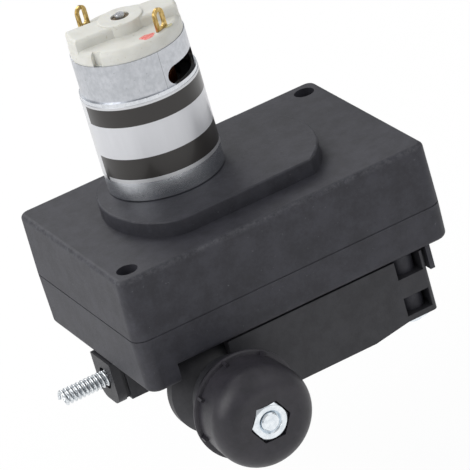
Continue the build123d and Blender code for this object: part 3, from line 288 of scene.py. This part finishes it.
def moulded(name, tone, worn, roughness, grain, rub_and_highlight=False):
    """Black moulded plastic: slow cloudy tone, even grain, and outer edges greyer if asked, as rub wear and
    painted edge highlight.
    """
    made, tree, shader, place = surface(name, Specular_IOR_Level=0.42)
    noise = {"Vector": place, "Scale": 1 / melt_cloud, "Detail": 8.0, "Roughness": 0.75}
    cloud = add(tree, "TexNoise", noise)
    patchy = add(
        tree,
        "MapRange",
        {"Value": cloud.outputs[0], "From Min": 0.33, "From Max": 0.67},
        interpolation_type="SMOOTHSTEP",
    )
    base = add(tree, "Mix", {0: patchy.outputs[0], 6: linear(tone), 7: linear(worn)}, data_type="RGBA")
    colour = base.outputs[2]
    if rub_and_highlight:
        colour = rub_and_highlight_edges(tree, place, colour)
    fine = add(tree, "TexNoise", {"Vector": place, "Scale": 1 / grain, "Detail": 2.0, "Roughness": 0.55})
    skin(tree, shader, colour, fine.outputs[0], (roughness - 0.08, roughness + 0.1), 0.5, 0.05 * MM)
    return made


case_plastic = moulded("moulded_nylon_case", "#2A2A30", "#38383F", 0.56, case_grain, rub_and_highlight=True)
dress(case_plastic, "rear_cover", "front_case")

# ------------------------------------------------------------------ motor can and flux ring
# The can is deep drawn from zinc-coated steel sheet and the ring is a strip rolled round it.
# Zinc gives a cold grey metal with soft cloudy patches, drawn streaks along the axis, and a
# thin butt joint where the strip's ends meet.
ring_low, ring_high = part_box("flux_ring")
motor_x = (ring_low.x + ring_high.x) / 2
motor_y = (ring_low.y + ring_high.y) / 2
ring_radius = (ring_high.x - ring_low.x) / 2
zinc_cloud = 5 * MM
# Streaks and specks are finer on the real sheet, and drawn coarse enough to show.
zinc_streak = 1.11 * MM
zinc_speck = 0.667 * MM


def motor_angle(tree, place):
    """The angle round the motor's axis, from -pi to pi."""
    centred = add(tree, "Mapping", {"Vector": place, "Location": (-motor_x, -motor_y, 0)})
    parts = add(tree, "SeparateXYZ", {0: centred.outputs[0]}).outputs
    return add(tree, "Math", {0: parts["Y"], 1: parts["X"]}, operation="ARCTAN2").outputs[0]


def zinc_sheet(name, tone, shade, joint_angle, joint_width, joint_tone, roughness):
    """Zinc-coated sheet: pale spangle, faint drawn streaks, dark specks, a joint at an angle."""
    made, tree, shader, place = surface(name, Metallic=1.0)
    drawn = add(tree, "Mapping", {"Vector": place, "Scale": (1, 1, 0.7)}).outputs[0]
    streak = add(tree, "TexNoise", {"Vector": drawn, "Scale": 1 / zinc_streak, "Detail": 3.0})
    cloud = add(tree, "TexNoise", {"Vector": place, "Scale": 1 / zinc_cloud, "Detail": 6.0, "Roughness": 0.7})
    blend = add(tree, "Math", {0: streak.outputs[0], 1: cloud.outputs[0]}, operation="ADD")
    blend = add(
        tree,
        "MapRange",
        {"Value": blend.outputs[0], "From Min": 0.7, "From Max": 1.35},
        interpolation_type="SMOOTHSTEP",
    )
    colour = add(tree, "Mix", {0: blend.outputs[0], 6: linear(shade), 7: linear(tone)}, data_type="RGBA")
    speck = add(tree, "TexNoise", {"Vector": place, "Scale": 1 / zinc_speck, "Detail": 2.0})
    speck = add(
        tree,
        "MapRange",
        {"Value": speck.outputs[0], "From Min": 0.68, "From Max": 0.76},
        interpolation_type="SMOOTHSTEP",
    )
    speck = add(tree, "Math", {0: speck.outputs[0], 1: 0.6}, operation="MULTIPLY").outputs[0]
    colour = add(tree, "Mix", {0: speck, 6: colour.outputs[2], 7: linear("#6C6D70")}, data_type="RGBA")
    offset = add(tree, "Math", {0: motor_angle(tree, place), 1: radians(joint_angle)}, operation="SUBTRACT")
    offset = add(tree, "Math", {0: offset.outputs[0]}, operation="ABSOLUTE").outputs[0]
    joint = add(tree, "Math", {0: offset, 1: joint_width / ring_radius / 2}, operation="LESS_THAN").outputs[0]
    colour = add(tree, "Mix", {0: joint, 6: colour.outputs[2], 7: linear(joint_tone)}, data_type="RGBA")
    skin(tree, shader, colour.outputs[2], cloud.outputs[0], roughness, 0.05, 0.02 * MM)
    return made


can_zinc = zinc_sheet("zinc_coated_can", "#CDCFD4", "#BABDC2", -84, 0.18 * MM, "#9A9CA0", (0.40, 0.30))
dress(can_zinc, "motor_can")
ring_zinc = zinc_sheet("zinc_coated_strip", "#E0E3E7", "#D2D5DA", 40, 0.3 * MM, "#56585C", (0.28, 0.25))
dress(ring_zinc, "flux_ring")

# ------------------------------------------------------------------ motor label
# A metallised plastic film glued round the ring, printed with two dark bands and left bare of
# any lettering. The film is glossy and shows faint upright creases from wrapping, along which
# its colour is painted lighter and darker as sheen. The print stops short of the end, where a
# small near-black patch is painted shade in the gap under a lifted corner.
label_low, label_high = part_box("motor_label")
# The heights of the bands' edges, as shares of the label's height.
band_edges = (0.045, 0.315, 0.735, 0.965)
print_end = radians(157)
gap_shade_angle = radians(-174.5)
gap_shade_height = 0.09
film_crease = 2.38 * MM
margin, dark, pale = "#D3D4D7", "#2B2826", "#D5D6DA"

label_film, tree, shader, place = surface("metallised_film", Coat_Weight=0.35, Coat_Roughness=0.12)
height = add(tree, "SeparateXYZ", {0: place}).outputs["Z"]
share = add(tree, "MapRange", {"Value": height, "From Min": label_low.z, "From Max": label_high.z}).outputs[0]
places = (0.0, *band_edges)
bands = add(tree, "ValToRGB", {0: share}, list(zip(places, (margin, dark, pale, dark, margin))))
bands.color_ramp.interpolation = "CONSTANT"
metal = add(tree, "ValToRGB", {0: share}, list(zip(places, (0.8, 0.25, 0.55, 0.25, 0.8))))
metal.color_ramp.interpolation = "CONSTANT"
tree.links.new(metal.outputs["Color"], shader.inputs["Metallic"])
upright = add(tree, "Mapping", {"Vector": place, "Scale": (1, 1, 0.15)}).outputs[0]
crease = add(tree, "TexNoise", {"Vector": upright, "Scale": 1 / film_crease, "Detail": 3.0}).outputs[0]
# The colour is painted a little lighter and darker along the creases as sheen; the bump gives their relief.
crease_sheen = add(tree, "MapRange", {"Value": crease, "To Min": 0.93, "To Max": 1.05}).outputs[0]
angle = motor_angle(tree, place)
blank = add(tree, "Math", {0: angle, 1: print_end}, operation="GREATER_THAN").outputs[0]
# A small patch at the film's end, near its foot, is painted near-black: painted shade in the gap under a
# lifted corner.
near_end = add(tree, "Math", {0: angle, 1: gap_shade_angle}, operation="LESS_THAN").outputs[0]
near_foot = add(tree, "Math", {0: share, 1: gap_shade_height}, operation="LESS_THAN").outputs[0]
gap_shade = add(tree, "Math", {0: near_end, 1: near_foot}, operation="MULTIPLY").outputs[0]
colour = bands.outputs["Color"]
colour = add(tree, "Mix", {0: blank, 6: colour, 7: linear(margin)}, data_type="RGBA").outputs[2]
colour = add(tree, "Mix", {0: gap_shade, 6: colour, 7: linear("#0B0B0C")}, data_type="RGBA").outputs[2]
colour = add(tree, "Mix", {0: 1.0, 6: colour, 7: crease_sheen}, data_type="RGBA", blend_type="MULTIPLY").outputs[2]
skin(tree, shader, colour, crease, (0.28, 0.42), 0.25, 0.05 * MM)
dress(label_film, "motor_label")

# ------------------------------------------------------------------ end bell
# The motor's rear bearing shield is moulded in natural nylon, which is an ivory, slightly
# translucent plastic. Oil from the bush and dust have browned it in patches. A dab of red
# paint marks one terminal, and soldering left a smear of resin at the other's foot.
bell_rise = 4.32 * MM
bell_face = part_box("motor_can")[1].z + bell_rise
bell_cloud = 3.85 * MM
bell_stain = 1.61 * MM
bell_grain = 0.556 * MM
dab_gap = 0.01 * MM
paint_grain = 0.714 * MM
resin_grain = 0.556 * MM

natural_nylon, tree, shader, place = surface(
    "natural_nylon",
    Specular_IOR_Level=0.5,
    Subsurface_Weight=0.18,
    Subsurface_Scale=1.5 * MM,
    Subsurface_Radius=(1.0, 0.85, 0.6),
)
cloud = add(tree, "TexNoise", {"Vector": place, "Scale": 1 / bell_cloud, "Detail": 4.0}).outputs[0]
colour = add(tree, "Mix", {0: cloud, 6: linear("#CFCEC6"), 7: linear("#E2E2DC")}, data_type="RGBA").outputs[2]
stain = add(tree, "TexNoise", {"Vector": place, "Scale": 1 / bell_stain, "Detail": 5.0, "Roughness": 0.7})
stain = add(
    tree,
    "MapRange",
    {"Value": stain.outputs[0], "From Min": 0.60, "From Max": 0.74},
    interpolation_type="SMOOTHSTEP",
)
stain = add(tree, "Math", {0: stain.outputs[0], 1: 0.5}, operation="MULTIPLY").outputs[0]
colour = add(tree, "Mix", {0: stain, 6: colour, 7: linear("#A2936F")}, data_type="RGBA").outputs[2]
fine = add(tree, "TexNoise", {"Vector": place, "Scale": 1 / bell_grain, "Detail": 2.0}).outputs[0]
skin(tree, shader, colour, fine, (0.38, 0.55), 0.3, 0.04 * MM)
dress(natural_nylon, "end_bell")


def painted_dab(name, material, across, along, half_width, half_depth, height):
    """A dab on the bell's face, placed from the motor's axis: the radius wavers as the sum of
    two sines of the angle, and the height falls off as one minus the square of the share."""
    shares = np.linspace(0.02, 1.0, 9)
    turns = np.linspace(0, 2 * pi, 48, endpoint=False)
    share, turn = np.meshgrid(shares, turns, indexing="ij")
    reach = share * (1 + 0.10 * np.sin(3 * turn + 0.6) + 0.06 * np.sin(5 * turn))
    points = np.stack(
        [
            motor_x + across + half_width * reach * np.cos(turn),
            motor_y + along + half_depth * reach * np.sin(turn),
            bell_face + height * (1 - share**2) + dab_gap,
        ],
        axis=-1,
    )
    made = sheet_mesh(name, points, material, close_v=True, caps=("first",))
    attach(made, "case")


red_paint, tree, shader, place = surface("red_marking_paint", Roughness=0.35)
cloud = add(tree, "TexNoise", {"Vector": place, "Scale": 1 / paint_grain, "Detail": 3.0}).outputs[0]
colour = add(tree, "ValToRGB", {0: cloud}, [(0.40, "#E2524C"), (0.60, "#F3A59C")]).outputs["Color"]
tree.links.new(colour, shader.inputs["Base Color"])
painted_dab("red_dab", red_paint, 1.6 * MM, -14.1 * MM, 2.4 * MM, 1.9 * MM, 0.12 * MM)

flux_resin, tree, shader, place = surface("flux_resin", Roughness=0.25, Transmission_Weight=0.35)
cloud = add(tree, "TexNoise", {"Vector": place, "Scale": 1 / resin_grain, "Detail": 3.0}).outputs[0]
colour = add(tree, "ValToRGB", {0: cloud}, [(0.35, "#C9BE6A"), (0.65, "#E3DDA8")]).outputs["Color"]
tree.links.new(colour, shader.inputs["Base Color"])
painted_dab("flux_dab", flux_resin, 9.2 * MM, -12.8 * MM, 1.6 * MM, 1.1 * MM, 0.2 * MM)

# ------------------------------------------------------------------ terminals and bushes
# The terminals are blanked from brass strip and pushed through the bell, and the shaft of
# ground steel runs in bushes of oil-soaked sintered bronze. Every bare metal has its grain
# drawn coarser than the real one, so that it shows.


def bare_metal(name, tone, shade, roughness, grain, stretch):
    """Bare metal: two tones and a roughness that follow one noise of a grain size, which is
    drawn out along an axis where its stretch is below 1."""
    made, tree, shader, place = surface(name, Metallic=1.0)
    drawn = add(tree, "Mapping", {"Vector": place, "Scale": stretch}).outputs[0]
    noise = {"Vector": drawn, "Scale": 1 / grain, "Detail": 4.0, "Roughness": 0.6}
    mark = add(tree, "TexNoise", noise).outputs[0]
    colour = add(tree, "ValToRGB", {0: mark}, [(0.35, shade), (0.62, tone)]).outputs["Color"]
    skin(tree, shader, colour, mark, roughness, 0.3, 0.02 * MM)
    return made


stamped_brass = bare_metal("stamped_brass", "#D8BC7C", "#8F7238", (0.42, 0.22), 0.667 * MM, (1, 1, 0.4))
dress(stamped_brass, "terminals", "commutator")
oiled_bronze = bare_metal("sintered_bronze", "#8A7A63", "#4C4238", (0.6, 0.35), 0.286 * MM, (1, 1, 1))
dress(oiled_bronze, "motor_bushings")
ground_steel = bare_metal("ground_steel", "#E6E7E9", "#B9BBBF", (0.3, 0.16), 0.714 * MM, (1, 1, 0.15))
dress(ground_steel, "motor_shaft", "output_shaft", "gear_pin", "idler_pin", "bearing_balls", "roller_axle")

# ------------------------------------------------------------------ inside of the motor
# A core of stacked steel sheets with enamelled copper windings, two ferrite arcs, and carbon
# brushes on spring strip. Only the vents give a sight of them.
ferrite = bare_metal("sintered_ferrite", "#3A3A3D", "#232325", (0.7, 0.5), 1.11 * MM, (1, 1, 1))
dress(ferrite, "magnets")
laminations = bare_metal("stacked_laminations", "#8C8E92", "#5C5E62", (0.5, 0.35), 0.714 * MM, (0.2, 0.2, 3))
dress(laminations, "armature_core")
copper_wire = bare_metal("enamelled_copper", "#B5622F", "#7C3A1A", (0.4, 0.25), 0.667 * MM, (1, 1, 0.1))
dress(copper_wire, "armature_windings")
carbon = bare_metal("pressed_carbon", "#2C2C2E", "#1A1A1B", (0.75, 0.55), 0.385 * MM, (1, 1, 1))
dress(carbon, "carbon_brushes")
spring_strip = bare_metal("spring_strip", "#B9B4A6", "#8E8979", (0.4, 0.25), 0.667 * MM, (1, 1, 0.2))
dress(spring_strip, "brush_springs")

# ------------------------------------------------------------------ gears, bearings and drive roll
# The pinion and output gear are cut from steel and the idler gear is moulded in nylon, to run
# quietly between them. The bearings are plain ball bearings, and the drive roll and its screw
# are turned from hardened steel, with fine turning rings round them.
dress(natural_nylon, "idler_gear")
gear_steel = bare_metal("cut_gear_steel", "#A9ABAE", "#77797D", (0.45, 0.3), 0.769 * MM, (1, 1, 0.25))
dress(gear_steel, "motor_pinion", "output_gear")
race_steel = bare_metal("bearing_steel", "#DADCDF", "#B4B6BA", (0.26, 0.14), 0.625 * MM, (0.3, 0.3, 2))
dress(race_steel, "bearing_outer_races", "bearing_inner_races", "pressure_roller")
roll_steel = bare_metal("turned_steel", "#C9CBCE", "#8F9296", (0.4, 0.22), 0.667 * MM, (0.15, 0.15, 4))
dress(roll_steel, "drive_roll", "roll_key", "roll_screw")

# ------------------------------------------------------------------ screws, pins, washers and clips
# Bought fasteners of mild steel, cold formed or stamped and then zinc plated, which gives
# them a bright bluish skin with hardly any grain.
zinc_plate = bare_metal("bright_zinc_plate", "#F1F6FA", "#DDE4EA", (0.26, 0.16), 2 * MM, (1, 1, 1))
dress(zinc_plate, "case_screws", "motor_screws", "idler_washers", "shaft_clip", "axle_clip", "bolt_pin")
dress(zinc_plate, "bolt_pin_clip", "pivot_washer", "pivot_screw", "torch_screw", "thrust_washer")

# ------------------------------------------------------------------ pressure arm
# One moulding of black glass-filled nylon that carries the roller. It comes from a smoother
# mould than the case, as do the spring cup and the inlet guide, so it has a tighter sheen.
arm_grain = 0.4 * MM
arm_plastic = moulded("moulded_nylon_arm", "#28282C", "#343438", 0.50, arm_grain)
dress(arm_plastic, "pressure_arm", "spring_cup", "inlet_guide")

# ------------------------------------------------------------------ tension knob, nut and bolt
# The knob is a thick black moulding with a satin skin that rolls the light softly. A zinc
# plated nut is pressed into its hexagonal pocket, and the bolt's end sits in the nut.
knob_grain = 0.6 * MM
knob_plastic = moulded("moulded_nylon_knob", "#28272C", "#343238", 0.42, knob_grain)
dress(knob_plastic, "tension_knob")
spring_wire = bare_metal("spring_wire_steel", "#C3C6CA", "#8D9095", (0.36, 0.22), 0.667 * MM, (1, 1, 1))
dress(spring_wire, "tension_spring")
dress(zinc_plate, "tension_bolt")

nut_low, nut_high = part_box("knob_nut")
nut_x = (nut_low.x + nut_high.x) / 2
nut_z = (nut_low.z + nut_high.z) / 2
nut_face = nut_low.y
nut_height = nut_high.y - nut_low.y
nut_bore = 3.02 * MM
nut_sink = 3.75 * MM
crown_angle = radians(30)
crown_inset = 0.15 * MM
# The plain nut's own corners give the width over them, and how far it is turned.
nut_mesh = nodes["knob_nut"].data
corners = np.empty(len(nut_mesh.vertices) * 3)
nut_mesh.vertices.foreach_get("co", corners)
corner_x, _, corner_z = corners.reshape(-1, 3).T
from_axis = np.hypot(corner_x - nut_x, corner_z - nut_z)
widest = from_axis.argmax()
nut_turn = np.arctan2(corner_z[widest] - nut_z, corner_x[widest] - nut_x)
nut_flat = from_axis[widest] * cos(pi / 6)


def crown(radius):
    """How far the crown's cone has fallen below the face at a radius."""
    return np.maximum(0, radius - nut_flat + crown_inset) * tan(crown_angle)


def nut_surface(turn):
    """The nut's skin, with a row for each step of its profile and a column for each angle round
    the axis. The radius is a circle in the bore and on the face, and on the sides it is the
    flat's distance over the cosine of the angle from the flat's middle. The crown is a cone
    that starts just inside the flats, so that it cuts only the corners."""
    hexagon = nut_flat / np.cos(np.mod(turn - nut_turn, pi / 3) - pi / 6)
    circle = np.ones_like(turn)
    chamfer = nut_sink - nut_bore
    inner = np.minimum(hexagon, nut_flat - 0.05 * MM)
    middle = (nut_flat + hexagon) / 2
    outer = hexagon - 0.02 * MM
    profile = [
        (nut_bore * circle, nut_height * circle),
        (nut_bore * circle, chamfer * 1.1 * circle),
        ((nut_bore + 0.25 * MM) * circle, chamfer * 0.75 * circle),
        (nut_sink * circle, 0 * circle),
        ((nut_sink + 0.12 * MM) * circle, 0 * circle),
        ((nut_flat - 0.25 * MM) * circle, 0 * circle),
        (inner, crown(inner)),
        (middle, crown(middle)),
        (outer, crown(outer)),
        (hexagon, 0.5 * MM + crown(hexagon)),
        (hexagon, nut_height * circle),
    ]
    radius, depth = np.array(profile).transpose(1, 0, 2)
    return np.stack([nut_x + radius * np.cos(turn), nut_face + depth, nut_z + radius * np.sin(turn)], axis=-1)


round_nut = np.linspace(0, 2 * pi, 144, endpoint=False)
nut = sheet_mesh("lock_nut", nut_surface(round_nut), zinc_plate, close_u=True, close_v=True)
nut.data.shade_flat()
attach(nut, "knob")
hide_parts("knob_nut")

# ------------------------------------------------------------------ wire guides
# The guide coil is wound from bright galvanised spring wire and held in the black inlet
# guide; steel tubes carry the wire between the guides and the rolls.
galvanised = bare_metal("galvanised_wire", "#EDF1F4", "#C3C8CC", (0.34, 0.2), 0.588 * MM, (1, 1, 1))
dress(galvanised, "guide_coil")
dress(roll_steel, "inlet_tube", "outlet_tube")
